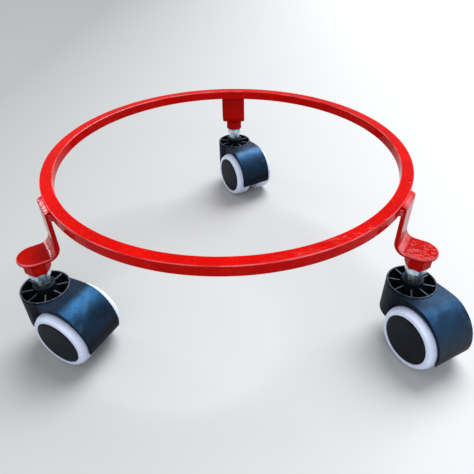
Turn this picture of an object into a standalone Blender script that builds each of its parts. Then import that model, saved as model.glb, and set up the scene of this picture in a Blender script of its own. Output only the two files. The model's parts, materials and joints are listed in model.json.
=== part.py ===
"""Round drum dolly: a flat steel ring carried by three swivelling twin-wheel castors.

The ring stands on three flat-bar brackets.  A hex nut is welded under each bracket's tab, and a
castor's threaded stem screws into it.  The castor housing swivels on the stem's lower pin, and
its two wheels turn on one axle.  Metres, +Z up, origin on the floor under the middle.
"""
import math

import bmesh
import bpy
from mathutils import Matrix, Vector

# ---- driving dimensions ---------------------------------------------------------------------
GAP = 0.0003                      # clearance between touching pieces
WIDE_GAP = 0.0007                 # clearance around a wheel
RUNNING_FIT = 0.00035             # radial clearance of a pin in its hole
OVERSHOOT = 0.002                 # how far a cutting shape runs past what it cuts
LAP = 0.001                       # how far two shapes overlap before they are joined

RING_OUTER_RADIUS = 0.150
RING_BAR_WIDTH = 0.0095
RING_BAR_HEIGHT = 0.0085
RING_EDGE = 0.0009
RING_TOP = 0.1257
RING_STEPS = 72

BRACKET_WIDTH = 0.025
BRACKET_THICKNESS = 0.0032
BRACKET_BEND_INNER = 0.0075
BRACKET_DROP = 0.0022             # from the ring's top down to the bracket's top edge
TAB_TOP = 0.0868
STEM_CIRCLE_RADIUS = 0.1683       # from the ring's centre to each stem's axis

WELD_LEG = 0.0032                 # of the fillet beads beside each bracket
WELD_TOE = 0.0007
TOP_WELD_LEG = 0.0018             # of the fillet bead on each bracket's top edge

NUT_ACROSS_FLATS = 0.017
NUT_HEIGHT = 0.0104
NUT_WELD_HEIGHT = 0.0022
NUT_WELD_LEG = 0.0019
NUT_WELD_TOE = 0.0004
THREAD_RADIUS = 0.0049
THREAD_CHAMFER = 0.0008
COLLAR_ACROSS_FLATS = 0.0145
COLLAR_BOTTOM = 0.0668
SHOULDER_RADIUS = 0.0060          # of the round part under the hex collar
SHOULDER_BOTTOM = 0.0600
PIN_RADIUS = 0.0040
PIN_BOTTOM = 0.0392
PIN_CHAMFER = 0.0005
PIN_GROOVE_RADIUS = 0.0032
CLIP_BOTTOM = 0.0402
CLIP_THICKNESS = 0.0008
CLIP_CLEARANCE = 0.0006           # between the clip and the bore

TURRET_RADIUS = 0.0190
TURRET_TOP = 0.0553
TURRET_BOTTOM = 0.0240
TURRET_POCKET_FLOOR = 0.0470
TURRET_WALL = 0.0017
RIB_COUNT = 8
RIB_THICKNESS = 0.0013
RIM_LIP = 0.0004                  # step inside the turret's rim
RIB_DROP = 0.0010                 # from the turret's rim down to the ribs' tops
BOSS_RADIUS = 0.0084
BOSS_TOP = 0.0592
BORE_RADIUS = 0.00555
BORE_FLOOR = 0.0385

WHEEL_RADIUS = 0.0250
TRAIL = 0.0250                    # from the stem's axis back to the axle
HOOD_RADIUS = 0.0269
HOOD_HALF_WIDTH = 0.0175
HOOD_RISE = 0.0028                # the mudguard's top above a plain arc round the axle
HOOD_SHOULDER = 0.0275            # above the axle, where the mudguard meets the turret
HOOD_TAIL_ANGLE = -13.0           # degrees, below the horizontal through the axle
WEB_HALF_THICKNESS = 0.0050
HUB_GAP = 0.0005                  # between the web and each wheel's hub
WEB_RADIUS = 0.0165               # of the web's lower edge, round the axle
AXLE_RADIUS = 0.0040
AXLE_HALF_LENGTH = 0.0206
TYRE_SEAT_RADIUS = 0.01975
TYRE_INNER_END = 0.0062           # distances along the axle, from the castor's middle
TYRE_OUTER_END = 0.0230
TYRE_SHOULDER = 0.0041            # of the rounded outer edge, along the axle
TYRE_INNER_ROUND = 0.0020
CORE_WEB_FACE = 0.0130
RIM_THICKNESS = 0.0020
HUB_CAP_CROWN = 0.0238
HUB_CAP_DEPTH = 0.0018
CAP_GAP = 0.0004                  # between the tyre's seat and the cap or the rim
WHEEL_STEPS = 32
CORE_STEPS = 20
ROOM_STEPS = 36

# azimuth of each stem round the ring, and the heading of each castor's trail, in degrees
CASTORS = {"rear": (87.9, -60.2), "left": (211.6, -27.3), "right": (327.5, -63.2)}

# ---- collections, materials and small helpers -------------------------------------------------


def clear_scene():
    for item in list(bpy.data.objects):
        bpy.data.objects.remove(item, do_unlink=True)


def new_collection(name):
    group = bpy.data.collections.new(name)
    bpy.context.scene.collection.children.link(group)
    return group


def new_material(name, color, metallic, roughness):
    material = bpy.data.materials.new(name)
    material.use_nodes = True
    shader = material.node_tree.nodes["Principled BSDF"]
    shader.inputs["Base Color"].default_value = (*color, 1.0)
    shader.inputs["Metallic"].default_value = metallic
    shader.inputs["Roughness"].default_value = roughness
    material.diffuse_color = (*color, 1.0)
    return material


clear_scene()
PARTS = new_collection("drum_dolly")
CUTTERS = new_collection("cutters")
RED_PAINT = new_material("red_paint", (0.78, 0.02, 0.01), 0.0, 0.25)
ZINC = new_material("zinc_plate", (0.62, 0.66, 0.70), 1.0, 0.3)
SPRING_STEEL = new_material("spring_steel", (0.25, 0.25, 0.27), 1.0, 0.35)
BRONZE = new_material("bush_bronze", (0.55, 0.38, 0.16), 1.0, 0.4)
BLACK_NYLON = new_material("black_nylon", (0.02, 0.022, 0.026), 0.0, 0.5)
TYRE_WHITE = new_material("tyre_white", (0.72, 0.76, 0.80), 0.0, 0.45)
CORE_NYLON = new_material("core_nylon", (0.05, 0.05, 0.055), 0.0, 0.5)


def empty(name, parent=None, location=(0.0, 0.0, 0.0), heading=0.0):
    """A placing point, turned by heading degrees about Z."""
    point = bpy.data.objects.new(name, None)
    point.empty_display_size = 0.01
    point.location = location
    point.rotation_euler = (0.0, 0.0, math.radians(heading))
    point.parent = parent
    PARTS.objects.link(point)
    return point


def node(name, mesh, material, parent, location=(0.0, 0.0, 0.0), rotation=(0.0, 0.0, 0.0)):
    """A finished piece: its own object on a mesh that copies may share."""
    piece = bpy.data.objects.new(name, mesh)
    if not mesh.materials:
        mesh.materials.append(material)
    piece.parent = parent
    piece.location = location
    piece.rotation_euler = rotation
    PARTS.objects.link(piece)
    return piece


def evaluated_mesh(source, name):
    """The object's evaluated shape as a welded mesh in its own frame; the source is removed."""
    bpy.context.view_layer.update()
    depsgraph = bpy.context.evaluated_depsgraph_get()
    mesh = bpy.data.meshes.new_from_object(source.evaluated_get(depsgraph))
    mesh.name = name
    work = bmesh.new()
    work.from_mesh(mesh)
    bmesh.ops.remove_doubles(work, verts=work.verts, dist=0.000002)
    bmesh.ops.recalc_face_normals(work, faces=work.faces)
    work.to_mesh(mesh)
    work.free()
    mesh.shade_smooth()
    mesh.set_sharp_from_angle(angle=math.radians(35.0))
    bpy.data.objects.remove(source, do_unlink=True)
    return mesh


def turned(name, profile, steps):
    """A solid of revolution about Z from (radius, height) points that run down the outer side.

    A profile whose ends both lie on the axis is open, and any other is a closed loop.
    """
    mesh = bpy.data.meshes.new(name)
    edges = [(index, index + 1) for index in range(len(profile) - 1)]
    if profile[0][0] > 0.0:
        edges.append((len(profile) - 1, 0))
    mesh.from_pydata([(radius, 0.0, height) for radius, height in profile], edges, [])
    source = bpy.data.objects.new(name, mesh)
    PARTS.objects.link(source)
    screw = source.modifiers.new("turn", "SCREW")
    screw.axis = "Z"
    screw.steps = steps
    screw.render_steps = steps
    screw.use_merge_vertices = True
    screw.merge_threshold = 0.00001
    return evaluated_mesh(source, name)


def flat_outline(name, loops, half_thickness):
    """A plate between -half_thickness and +half_thickness on Z, with one outline for each loop."""
    curve = bpy.data.curves.new(name, "CURVE")
    curve.dimensions = "2D"
    curve.fill_mode = "BOTH"
    curve.extrude = half_thickness
    for loop in loops:
        spline = curve.splines.new("POLY")
        spline.points.add(len(loop) - 1)
        for point, (x, y) in zip(spline.points, loop):
            point.co = (x, y, 0.0, 1.0)
        spline.use_cyclic_u = True
    source = bpy.data.objects.new(name, curve)
    PARTS.objects.link(source)
    return evaluated_mesh(source, name)


def hex_prism(name, across_flats, bottom, top, top_flats=None):
    """A six-sided bar on Z, tapered when top_flats is given."""
    corner = 1.0 / math.cos(math.pi / 6.0)
    work = bmesh.new()
    bmesh.ops.create_cone(work, cap_ends=True, segments=6, radius1=0.5 * across_flats * corner,
                          radius2=0.5 * (top_flats or across_flats) * corner, depth=top - bottom)
    bmesh.ops.translate(work, verts=work.verts, vec=(0.0, 0.0, 0.5 * (bottom + top)))
    mesh = bpy.data.meshes.new(name)
    work.to_mesh(mesh)
    work.free()
    return mesh


def cylinder(name, radius, bottom, top, steps):
    return turned(name, [(0.0, top), (radius, top), (radius, bottom), (0.0, bottom)], steps)


def combined(name, base, steps):
    """The base mesh after a list of (operation, mesh, matrix) Booleans."""
    source = bpy.data.objects.new(name, base)
    PARTS.objects.link(source)
    for index, (operation, mesh, matrix) in enumerate(steps):
        cutter = bpy.data.objects.new(f"{name}_cutter_{index}", mesh)
        cutter.matrix_world = matrix
        cutter.hide_render = True
        cutter.display_type = "WIRE"
        CUTTERS.objects.link(cutter)
        boolean = source.modifiers.new(f"step_{index}", "BOOLEAN")
        boolean.operation = operation
        boolean.solver = "EXACT"
        boolean.object = cutter
    result = evaluated_mesh(source, name)
    for cutter in list(CUTTERS.objects):
        bpy.data.objects.remove(cutter, do_unlink=True)
    return result


def arc(centre, radius, start, end, count):
    """Points on an arc, in degrees, both ends included."""
    points = []
    for index in range(count + 1):
        angle = math.radians(start + (end - start) * index / count)
        points.append((centre[0] + radius * math.cos(angle), centre[1] + radius * math.sin(angle)))
    return points


IN_PLACE = Matrix.Identity(4)
UPRIGHT = Matrix.Rotation(math.radians(90.0), 4, "X")      # plate in XY to plate in XZ
ALONG_NEGATIVE_Y = (math.radians(90.0), 0.0, 0.0)
ALONG_POSITIVE_Y = (math.radians(-90.0), 0.0, 0.0)

# ---- the ring and its brackets ------------------------------------------------------------------


def ring_mesh():
    outer = RING_OUTER_RADIUS
    inner = outer - RING_BAR_WIDTH
    top = RING_TOP
    bottom = top - RING_BAR_HEIGHT
    edge = RING_EDGE
    profile = [(outer - edge, top), (outer, top - edge), (outer, bottom + edge),
               (outer - edge, bottom), (inner + edge, bottom), (inner, bottom + edge),
               (inner, top - edge), (inner + edge, top)]
    return turned("carrier_ring", profile, RING_STEPS)


BRACKET_TOP = RING_TOP - BRACKET_DROP


def bracket_mesh():
    """Flat bar: a leg outside the ring, a bend and a tab with a round end over the stem."""
    leg_face = RING_OUTER_RADIUS + GAP
    outer_bend = BRACKET_BEND_INNER + BRACKET_THICKNESS
    tab_bottom = TAB_TOP - BRACKET_THICKNESS
    tab_end = STEM_CIRCLE_RADIUS + BRACKET_WIDTH / 2.0
    bend_centre = (leg_face + outer_bend, tab_bottom + outer_bend)
    profile = [(leg_face, BRACKET_TOP)]
    profile += arc(bend_centre, outer_bend, 180.0, 270.0, 8)
    profile += [(tab_end + OVERSHOOT, tab_bottom), (tab_end + OVERSHOOT, TAB_TOP)]
    profile += arc(bend_centre, BRACKET_BEND_INNER, 270.0, 180.0, 8)
    profile += [(leg_face + BRACKET_THICKNESS, BRACKET_TOP)]
    bar = flat_outline("bracket_bar", [profile], BRACKET_WIDTH / 2.0 + OVERSHOOT)
    plan = [(RING_OUTER_RADIUS - OVERSHOOT, -BRACKET_WIDTH / 2.0)]
    plan += arc((STEM_CIRCLE_RADIUS, 0.0), BRACKET_WIDTH / 2.0, -90.0, 90.0, 16)
    plan += [(RING_OUTER_RADIUS - OVERSHOOT, BRACKET_WIDTH / 2.0)]
    outline = flat_outline("bracket_outline", [plan], RING_TOP - TAB_TOP)
    bar.transform(UPRIGHT)
    middle = Matrix.Translation((0.0, 0.0, 0.5 * (RING_TOP + TAB_TOP)))
    return combined("bracket", bar, [("INTERSECT", outline, middle)])


def bracket_weld_mesh():
    """Fillet bead in the corner between the ring's side and the bracket's edge."""
    start = BRACKET_WIDTH / 2.0 + GAP
    near = math.sqrt((RING_OUTER_RADIUS + GAP) ** 2 - start ** 2)
    far = math.sqrt((RING_OUTER_RADIUS + GAP) ** 2 - (start + WELD_LEG) ** 2)
    loop = [(near, start), (far, start + WELD_LEG), (far + WELD_TOE, start + WELD_LEG),
            (near + 0.6 * WELD_LEG, start + 0.5 * WELD_LEG), (near + WELD_LEG, start)]
    height = RING_BAR_HEIGHT - BRACKET_DROP
    bead = flat_outline("bracket_weld", [loop], height / 2.0 - GAP)
    bead.transform(Matrix.Translation((0.0, 0.0, BRACKET_TOP - height / 2.0)))
    return bead


def bracket_top_weld_mesh():
    """Fillet bead along the bracket's top edge, against the ring's side."""
    face = RING_OUTER_RADIUS + GAP
    floor = BRACKET_TOP + GAP
    crown = 0.6 * TOP_WELD_LEG
    loop = [(face, floor), (face + TOP_WELD_LEG, floor), (face + crown, floor + crown),
            (face, floor + TOP_WELD_LEG)]
    bead = flat_outline("bracket_top_weld", [loop], BRACKET_WIDTH / 2.0 - GAP)
    bead.transform(UPRIGHT)
    return bead


# ---- nut, weld, stem, clip and bush ---------------------------------------------------------------

NUT_TOP = TAB_TOP - BRACKET_THICKNESS - GAP
NUT_BOTTOM = NUT_TOP - NUT_HEIGHT


def nut_mesh():
    blank = hex_prism("nut", NUT_ACROSS_FLATS, NUT_BOTTOM, NUT_TOP)
    hole = cylinder("nut_hole", THREAD_RADIUS + RUNNING_FIT, NUT_BOTTOM - OVERSHOOT,
                    NUT_TOP + OVERSHOOT, CORE_STEPS)
    return combined("nut", blank, [("DIFFERENCE", hole, IN_PLACE)])


def nut_weld_mesh():
    """Six-sided fillet bead round the nut's top, under the tab."""
    inner_flats = NUT_ACROSS_FLATS + 2.0 * GAP
    bead = hex_prism("nut_weld", inner_flats + 2.0 * NUT_WELD_TOE, NUT_TOP - NUT_WELD_HEIGHT, NUT_TOP,
                     inner_flats + 2.0 * NUT_WELD_LEG)
    core = hex_prism("nut_weld_core", inner_flats, NUT_TOP - 0.01, NUT_TOP + 0.01)
    return combined("nut_weld", bead, [("DIFFERENCE", core, IN_PLACE)])


def stem_mesh():
    """Threaded end, hex collar, round shoulder and a plain pin with a groove for the clip."""
    thread_top = NUT_TOP - GAP
    collar_top = NUT_BOTTOM - GAP
    groove_top = CLIP_BOTTOM + CLIP_THICKNESS + GAP
    groove_bottom = CLIP_BOTTOM - GAP
    profile = [(0.0, thread_top), (THREAD_RADIUS - THREAD_CHAMFER, thread_top),
               (THREAD_RADIUS, thread_top - THREAD_CHAMFER), (THREAD_RADIUS, collar_top - LAP),
               (SHOULDER_RADIUS, collar_top - LAP), (SHOULDER_RADIUS, SHOULDER_BOTTOM),
               (PIN_RADIUS, SHOULDER_BOTTOM), (PIN_RADIUS, groove_top),
               (PIN_GROOVE_RADIUS, groove_top), (PIN_GROOVE_RADIUS, groove_bottom),
               (PIN_RADIUS, groove_bottom), (PIN_RADIUS, PIN_BOTTOM + PIN_CHAMFER),
               (PIN_RADIUS - PIN_CHAMFER, PIN_BOTTOM), (0.0, PIN_BOTTOM)]
    rod = turned("stem", profile, CORE_STEPS)
    collar = hex_prism("collar", COLLAR_ACROSS_FLATS, COLLAR_BOTTOM, collar_top)
    return combined("stem", rod, [("UNION", collar, IN_PLACE)])


def clip_mesh():
    """Open ring that sits in the pin's groove."""
    inner = PIN_GROOVE_RADIUS + GAP
    outer = BORE_RADIUS - CLIP_CLEARANCE
    loop = arc((0.0, 0.0), outer, 20.0, 340.0, 20) + arc((0.0, 0.0), inner, 340.0, 20.0, 20)
    clip = flat_outline("stem_clip", [loop], CLIP_THICKNESS / 2.0)
    clip.transform(Matrix.Translation((0.0, 0.0, CLIP_BOTTOM + CLIP_THICKNESS / 2.0)))
    return clip


def bush_mesh():
    outer = BORE_RADIUS - RUNNING_FIT
    inner = PIN_RADIUS + RUNNING_FIT
    top = BOSS_TOP - GAP
    bottom = CLIP_BOTTOM + CLIP_THICKNESS + 2.0 * GAP
    return turned("stem_bush", [(outer, top), (outer, bottom), (inner, bottom), (inner, top)],
                  CORE_STEPS)


# ---- castor housing ---------------------------------------------------------------------------------

AXLE_HEIGHT = WHEEL_RADIUS


def turret_pocket_loops():
    """The spaces between the ribs, as seen from above."""
    inner = BOSS_RADIUS - OVERSHOOT
    outer = TURRET_RADIUS - TURRET_WALL
    loops = []
    for index in range(RIB_COUNT):
        start = 360.0 * index / RIB_COUNT
        end = 360.0 * (index + 1) / RIB_COUNT
        outer_half = math.degrees(math.asin(0.5 * RIB_THICKNESS / outer))
        inner_half = math.degrees(math.asin(0.5 * RIB_THICKNESS / inner))
        loops.append(arc((0.0, 0.0), outer, start + outer_half, end - outer_half, 3)
                     + arc((0.0, 0.0), inner, end - inner_half, start + inner_half, 1))
    return loops


def hood_mesh():
    """Turret and mudguard in one moulding, with a middle web that carries the axle."""
    axle = (TRAIL, AXLE_HEIGHT)
    side = arc(axle, HOOD_RADIUS, HOOD_TAIL_ANGLE, 15.0, 5)
    for step in range(1, 11):
        share = step / 10.0
        radius = HOOD_RADIUS + HOOD_RISE * share ** 2 * (3.0 - 2.0 * share)
        angle = math.radians(15.0 + 77.0 * share)
        side.append((axle[0] + radius * math.cos(angle), axle[1] + radius * math.sin(angle)))
    side += [(0.5 * TRAIL, AXLE_HEIGHT + HOOD_RADIUS + 0.9 * HOOD_RISE),
             (0.0, AXLE_HEIGHT + HOOD_SHOULDER), (0.0, TURRET_BOTTOM + LAP)]
    side += arc(axle, WEB_RADIUS, 190.0, 340.0, 6)
    plate = flat_outline("hood", [side], HOOD_HALF_WIDTH)
    plate.transform(UPRIGHT)
    turret = cylinder("turret", TURRET_RADIUS, TURRET_BOTTOM, TURRET_TOP, WHEEL_STEPS)
    boss = cylinder("boss", BOSS_RADIUS, TURRET_POCKET_FLOOR - LAP, BOSS_TOP, CORE_STEPS)
    recess = cylinder("recess", TURRET_RADIUS - TURRET_WALL + RIM_LIP, TURRET_TOP - RIB_DROP,
                      TURRET_TOP + LAP, WHEEL_STEPS)
    pocket_height = TURRET_TOP + LAP - TURRET_POCKET_FLOOR
    pockets = flat_outline("pockets", turret_pocket_loops(), pocket_height / 2.0)
    pockets_place = Matrix.Translation((0.0, 0.0, TURRET_POCKET_FLOOR + pocket_height / 2.0))
    bore = cylinder("bore", BORE_RADIUS, BORE_FLOOR, BOSS_TOP + LAP, CORE_STEPS)
    room = cylinder("wheel_room", WHEEL_RADIUS + WIDE_GAP, WEB_HALF_THICKNESS, 0.030, ROOM_STEPS)
    axle_hole = cylinder("axle_hole", AXLE_RADIUS + RUNNING_FIT, -0.01, 0.01, CORE_STEPS)
    at_axle = Matrix.Translation((TRAIL, 0.0, AXLE_HEIGHT))
    near_side = at_axle @ Matrix.Rotation(ALONG_NEGATIVE_Y[0], 4, "X")
    far_side = at_axle @ Matrix.Rotation(ALONG_POSITIVE_Y[0], 4, "X")
    return combined("hood", plate, [
        ("UNION", turret, IN_PLACE), ("DIFFERENCE", recess, IN_PLACE),
        ("DIFFERENCE", pockets, pockets_place), ("UNION", boss, IN_PLACE),
        ("DIFFERENCE", bore, IN_PLACE), ("DIFFERENCE", room, near_side),
        ("DIFFERENCE", room, far_side), ("DIFFERENCE", axle_hole, near_side)])


# ---- wheels, each turned about its own Z, which points outwards along the axle ----------------------


def tyre_mesh():
    seat = TYRE_SEAT_RADIUS
    tread = WHEEL_RADIUS
    outer = TYRE_OUTER_END
    inner = TYRE_INNER_END
    profile = [(seat, outer), (seat + 0.4 * TYRE_SHOULDER, outer),
               (tread - 0.44 * TYRE_SHOULDER, outer - 0.17 * TYRE_SHOULDER),
               (tread - 0.12 * TYRE_SHOULDER, outer - 0.5 * TYRE_SHOULDER),
               (tread, outer - TYRE_SHOULDER), (tread, inner + TYRE_INNER_ROUND),
               (tread - 0.3 * TYRE_INNER_ROUND, inner + 0.3 * TYRE_INNER_ROUND),
               (tread - TYRE_INNER_ROUND, inner), (seat, inner)]
    return turned("tyre", profile, WHEEL_STEPS)


def core_mesh():
    """Rim, web and hub barrel with the axle's bore."""
    rim_outer = TYRE_SEAT_RADIUS - CAP_GAP
    rim_inner = rim_outer - RIM_THICKNESS
    outer = TYRE_OUTER_END - HUB_CAP_DEPTH - GAP
    inner = TYRE_INNER_END + 0.5 * GAP
    bore = AXLE_RADIUS + RUNNING_FIT
    profile = [(rim_outer, outer), (rim_outer, inner), (rim_inner, inner), (rim_inner, CORE_WEB_FACE),
               (BOSS_RADIUS, CORE_WEB_FACE), (BOSS_RADIUS, WEB_HALF_THICKNESS + HUB_GAP),
               (bore, WEB_HALF_THICKNESS + HUB_GAP), (bore, outer)]
    return turned("wheel_core", profile, CORE_STEPS)


def hub_cap_mesh():
    edge = TYRE_SEAT_RADIUS - CAP_GAP
    back = TYRE_OUTER_END - HUB_CAP_DEPTH
    fall = HUB_CAP_CROWN - TYRE_OUTER_END
    profile = [(0.0, HUB_CAP_CROWN), (0.5 * edge, HUB_CAP_CROWN - 0.25 * fall),
               (0.88 * edge, HUB_CAP_CROWN - 0.85 * fall), (edge - CAP_GAP, TYRE_OUTER_END - 0.5 * CAP_GAP),
               (edge, TYRE_OUTER_END - 1.5 * CAP_GAP), (edge, back), (0.0, back)]
    return turned("hub_cap", profile, WHEEL_STEPS)


def axle_mesh():
    end = AXLE_HALF_LENGTH
    chamfer = PIN_CHAMFER
    profile = [(0.0, end), (AXLE_RADIUS - chamfer, end), (AXLE_RADIUS, end - chamfer),
               (AXLE_RADIUS, chamfer - end), (AXLE_RADIUS - chamfer, -end), (0.0, -end)]
    return turned("axle", profile, CORE_STEPS)


# ---- assembly -----------------------------------------------------------------------------------------


def build():
    centre = empty("dolly_centre")
    node("carrier_ring", ring_mesh(), RED_PAINT, centre)
    bracket = bracket_mesh()
    bracket_weld = bracket_weld_mesh()
    top_weld = bracket_top_weld_mesh()
    nut = nut_mesh()
    nut_weld = nut_weld_mesh()
    stem = stem_mesh()
    clip = clip_mesh()
    bush = bush_mesh()
    hood = hood_mesh()
    axle = axle_mesh()
    wheel_pieces = [("wheel_core", core_mesh(), CORE_NYLON), ("tyre", tyre_mesh(), TYRE_WHITE),
                    ("hub_cap", hub_cap_mesh(), BLACK_NYLON)]
    mirror = Matrix.Scale(-1.0, 4, (0.0, 1.0, 0.0))
    mirrored_weld = bracket_weld.copy()
    mirrored_weld.transform(mirror)
    mirrored_weld.flip_normals()

    for place, (azimuth, heading) in CASTORS.items():
        arm = empty(f"{place}_arm", centre, heading=azimuth)
        node(f"{place}_bracket", bracket, RED_PAINT, arm)
        node(f"{place}_bracket_weld_1", bracket_weld, RED_PAINT, arm)
        node(f"{place}_bracket_weld_2", mirrored_weld, RED_PAINT, arm)
        node(f"{place}_bracket_top_weld", top_weld, RED_PAINT, arm)
        seat = (STEM_CIRCLE_RADIUS, 0.0, 0.0)
        node(f"{place}_nut", nut, RED_PAINT, arm, seat)
        node(f"{place}_nut_weld", nut_weld, RED_PAINT, arm, seat)
        node(f"{place}_stem", stem, ZINC, arm, seat)
        node(f"{place}_stem_clip", clip, SPRING_STEEL, arm, seat)

        angle = math.radians(azimuth)
        stem_axis = (STEM_CIRCLE_RADIUS * math.cos(angle), STEM_CIRCLE_RADIUS * math.sin(angle), 0.0)
        swivel = empty(f"{place}_swivel", centre, stem_axis, heading)
        node(f"{place}_hood", hood, BLACK_NYLON, swivel)
        node(f"{place}_stem_bush", bush, BRONZE, swivel)
        axle_centre = (TRAIL, 0.0, AXLE_HEIGHT)
        node(f"{place}_axle", axle, ZINC, swivel, axle_centre, ALONG_NEGATIVE_Y)
        for side, rotation in (("1", ALONG_NEGATIVE_Y), ("2", ALONG_POSITIVE_Y)):
            for piece, mesh, material in wheel_pieces:
                node(f"{place}_{piece}_{side}", mesh, material, swivel, axle_centre, rotation)
    return centre


def move_origin_under_middle(centre):
    """Shift the whole dolly so that the origin is under the middle of its bounding box."""
    bpy.context.view_layer.update()
    corners = [piece.matrix_world @ vertex.co for piece in PARTS.objects if piece.type == "MESH"
               for vertex in piece.data.vertices]
    low = Vector([min(corner[axis] for corner in corners) for axis in range(3)])
    high = Vector([max(corner[axis] for corner in corners) for axis in range(3)])
    centre.location = (-0.5 * (low.x + high.x), -0.5 * (low.y + high.y), -low.z)
    bpy.context.view_layer.update()


move_origin_under_middle(build())
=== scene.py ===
"""Looks of the round drum dolly: red enamelled ring and brackets on three twin-wheel castors.

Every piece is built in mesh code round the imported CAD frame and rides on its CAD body.
"""
import json
import math

import bmesh
import bpy
from mathutils import Matrix, Vector, noise


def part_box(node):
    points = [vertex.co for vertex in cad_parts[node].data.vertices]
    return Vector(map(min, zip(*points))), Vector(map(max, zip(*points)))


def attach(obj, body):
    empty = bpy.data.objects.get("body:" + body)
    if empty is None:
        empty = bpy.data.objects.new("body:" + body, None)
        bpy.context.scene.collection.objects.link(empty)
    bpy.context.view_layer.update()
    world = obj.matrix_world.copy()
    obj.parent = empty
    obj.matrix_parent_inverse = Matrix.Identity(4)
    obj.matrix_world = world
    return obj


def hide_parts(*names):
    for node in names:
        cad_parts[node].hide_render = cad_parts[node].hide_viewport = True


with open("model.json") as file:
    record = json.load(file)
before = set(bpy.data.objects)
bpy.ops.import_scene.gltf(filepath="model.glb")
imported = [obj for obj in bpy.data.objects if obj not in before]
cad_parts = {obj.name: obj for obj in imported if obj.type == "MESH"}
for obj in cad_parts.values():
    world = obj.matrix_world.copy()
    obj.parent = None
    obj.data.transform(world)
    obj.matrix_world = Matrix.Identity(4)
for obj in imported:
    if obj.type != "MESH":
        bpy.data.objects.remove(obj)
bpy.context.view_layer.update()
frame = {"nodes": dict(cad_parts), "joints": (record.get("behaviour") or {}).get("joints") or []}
MM = 0.001
PLACES = ("rear", "left", "right")

# ---- what the frame says -------------------------------------------------------------------------

JOINTS = {joint["name"]: joint for joint in frame["joints"]}
ring_low, ring_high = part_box("carrier_ring")
CENTRE = (ring_low + ring_high) / 2.0
RING_RADIUS = (ring_high.x - ring_low.x) / 2.0
RING_TOP = ring_high.z
RING_BOTTOM = ring_low.z


def points_of(node):
    """Vertices of a CAD node."""
    return [vertex.co.copy() for vertex in frame["nodes"][node].data.vertices]


def placed_frames(place):
    """Matrices of a castor's arm (about the ring's centre), its stem and its heading."""
    stem = Vector(JOINTS[f"{place}_swivel"]["pos_m"])
    axle = Vector(JOINTS[f"{place}_wheel_1_spin"]["pos_m"])
    azimuth = math.atan2(stem.y - CENTRE.y, stem.x - CENTRE.x)
    heading = math.atan2(axle.y - stem.y, axle.x - stem.x)
    centre = Matrix.Translation((CENTRE.x, CENTRE.y, 0.0))
    at_stem = Matrix.Translation((stem.x, stem.y, 0.0))
    return {"arm": centre @ Matrix.Rotation(azimuth, 4, "Z"),
            "stem": at_stem @ Matrix.Rotation(azimuth, 4, "Z"),
            "castor": at_stem @ Matrix.Rotation(heading, 4, "Z")}


FRAMES = {place: placed_frames(place) for place in PLACES}


def extent(node, matrix):
    """Lowest and highest corner of a CAD node in the frame that the matrix places."""
    inverse = matrix.inverted()
    local = [inverse @ point for point in points_of(node)]
    low = Vector([min(point[axis] for point in local) for axis in range(3)])
    high = Vector([max(point[axis] for point in local) for axis in range(3)])
    return low, high


def inner_radius(node, axis_point):
    """Smallest distance of a CAD node from a vertical axis."""
    return min((point.xy - axis_point.xy).length for point in points_of(node))


REAR = FRAMES["rear"]
stem_joint = Vector(JOINTS["rear_swivel"]["pos_m"])
axle_joint = Vector(JOINTS["rear_wheel_1_spin"]["pos_m"])
RING_INNER = inner_radius("carrier_ring", CENTRE)
STEM_CIRCLE = (stem_joint.xy - CENTRE.xy).length
TRAIL = (axle_joint.xy - stem_joint.xy).length
AXLE_HEIGHT = axle_joint.z

bracket_low, bracket_high = extent("rear_bracket", REAR["arm"])
nut_low, nut_high = extent("rear_nut", REAR["stem"])
stem_low, stem_high = extent("rear_stem", REAR["stem"])
clip_low, clip_high = extent("rear_stem_clip", REAR["stem"])
bush_low, bush_high = extent("rear_stem_bush", REAR["castor"])
hood_low, hood_high = extent("rear_hood", REAR["castor"])
tyre_low, tyre_high = extent("rear_tyre_2", REAR["castor"])
core_low = extent("rear_wheel_core_2", REAR["castor"])[0]
cap_low, cap_high = extent("rear_hub_cap_2", REAR["castor"])
axle_high = extent("rear_axle", REAR["castor"])[1]

STRAP_THICKNESS = 3.2 * MM
BEND_INNER = 7.5 * MM             # radius of the former that the brackets were bent round
NUT_FLATS = 17.0 * MM
COLLAR_FLATS = 14.5 * MM
WHEEL_RADIUS = AXLE_HEIGHT
TURRET_RADIUS = -hood_low.x
BOSS_TOP = hood_high.z
TURRET_TOP = BOSS_TOP - 3.9 * MM
TURRET_BOTTOM = 24.0 * MM
HOOD_RADIUS = hood_high.x - TRAIL
HOOD_RISE = 2.8 * MM              # of the mudguard's top above a plain arc round the axle
HOOD_HALF_WIDTH = 17.5 * MM
HOOD_FLOOR = 46.5 * MM            # of the cup in the turret
BOSS_RADIUS = 8.4 * MM
BORE_RADIUS = 5.55 * MM
WEB_HALF = 5.0 * MM
RUNNING_BORE = 4.35 * MM          # radius of the holes that turn on an 8 mm pin or axle
TYRE_SEAT = 19.75 * MM
RIB_COUNT = 8
SEAM_AZIMUTH = 131.0              # degrees, where the ring's bar was butt-welded
UPRIGHT = Matrix.Rotation(math.radians(90.0), 4, "X")
WHEEL_TURNS = {"1": UPRIGHT, "2": Matrix.Rotation(math.radians(-90.0), 4, "X")}
FLOOR_DARK = (0.29, 0.29, 0.29)
FLOOR_LIGHT = (0.62, 0.62, 0.62)
STRIPS = {"front_strip": ((0.1, -1.35, 1.05), (1.5, 0.16), 5.4),
          "left_strip": ((-1.05, 0.45, 0.60), (0.10, 0.50), 1.3),
          "right_strip": ((0.75, 1.00, 0.80), (0.10, 0.04), 0.5)}    # place, sides, power
KEY_FROM = (0.55, 0.95, 1.74)
KEY_POWER = 4.3
KEY_WIDTH = 40.0                  # degrees
LIGHT_TINT = (0.97, 0.99, 1.0)
WORLD_TINT = (0.94, 0.97, 1.0, 1.0)
WORLD_POWER = 0.60
CAMERA_RIGHT = 0.0070             # of the ring's centre
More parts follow.
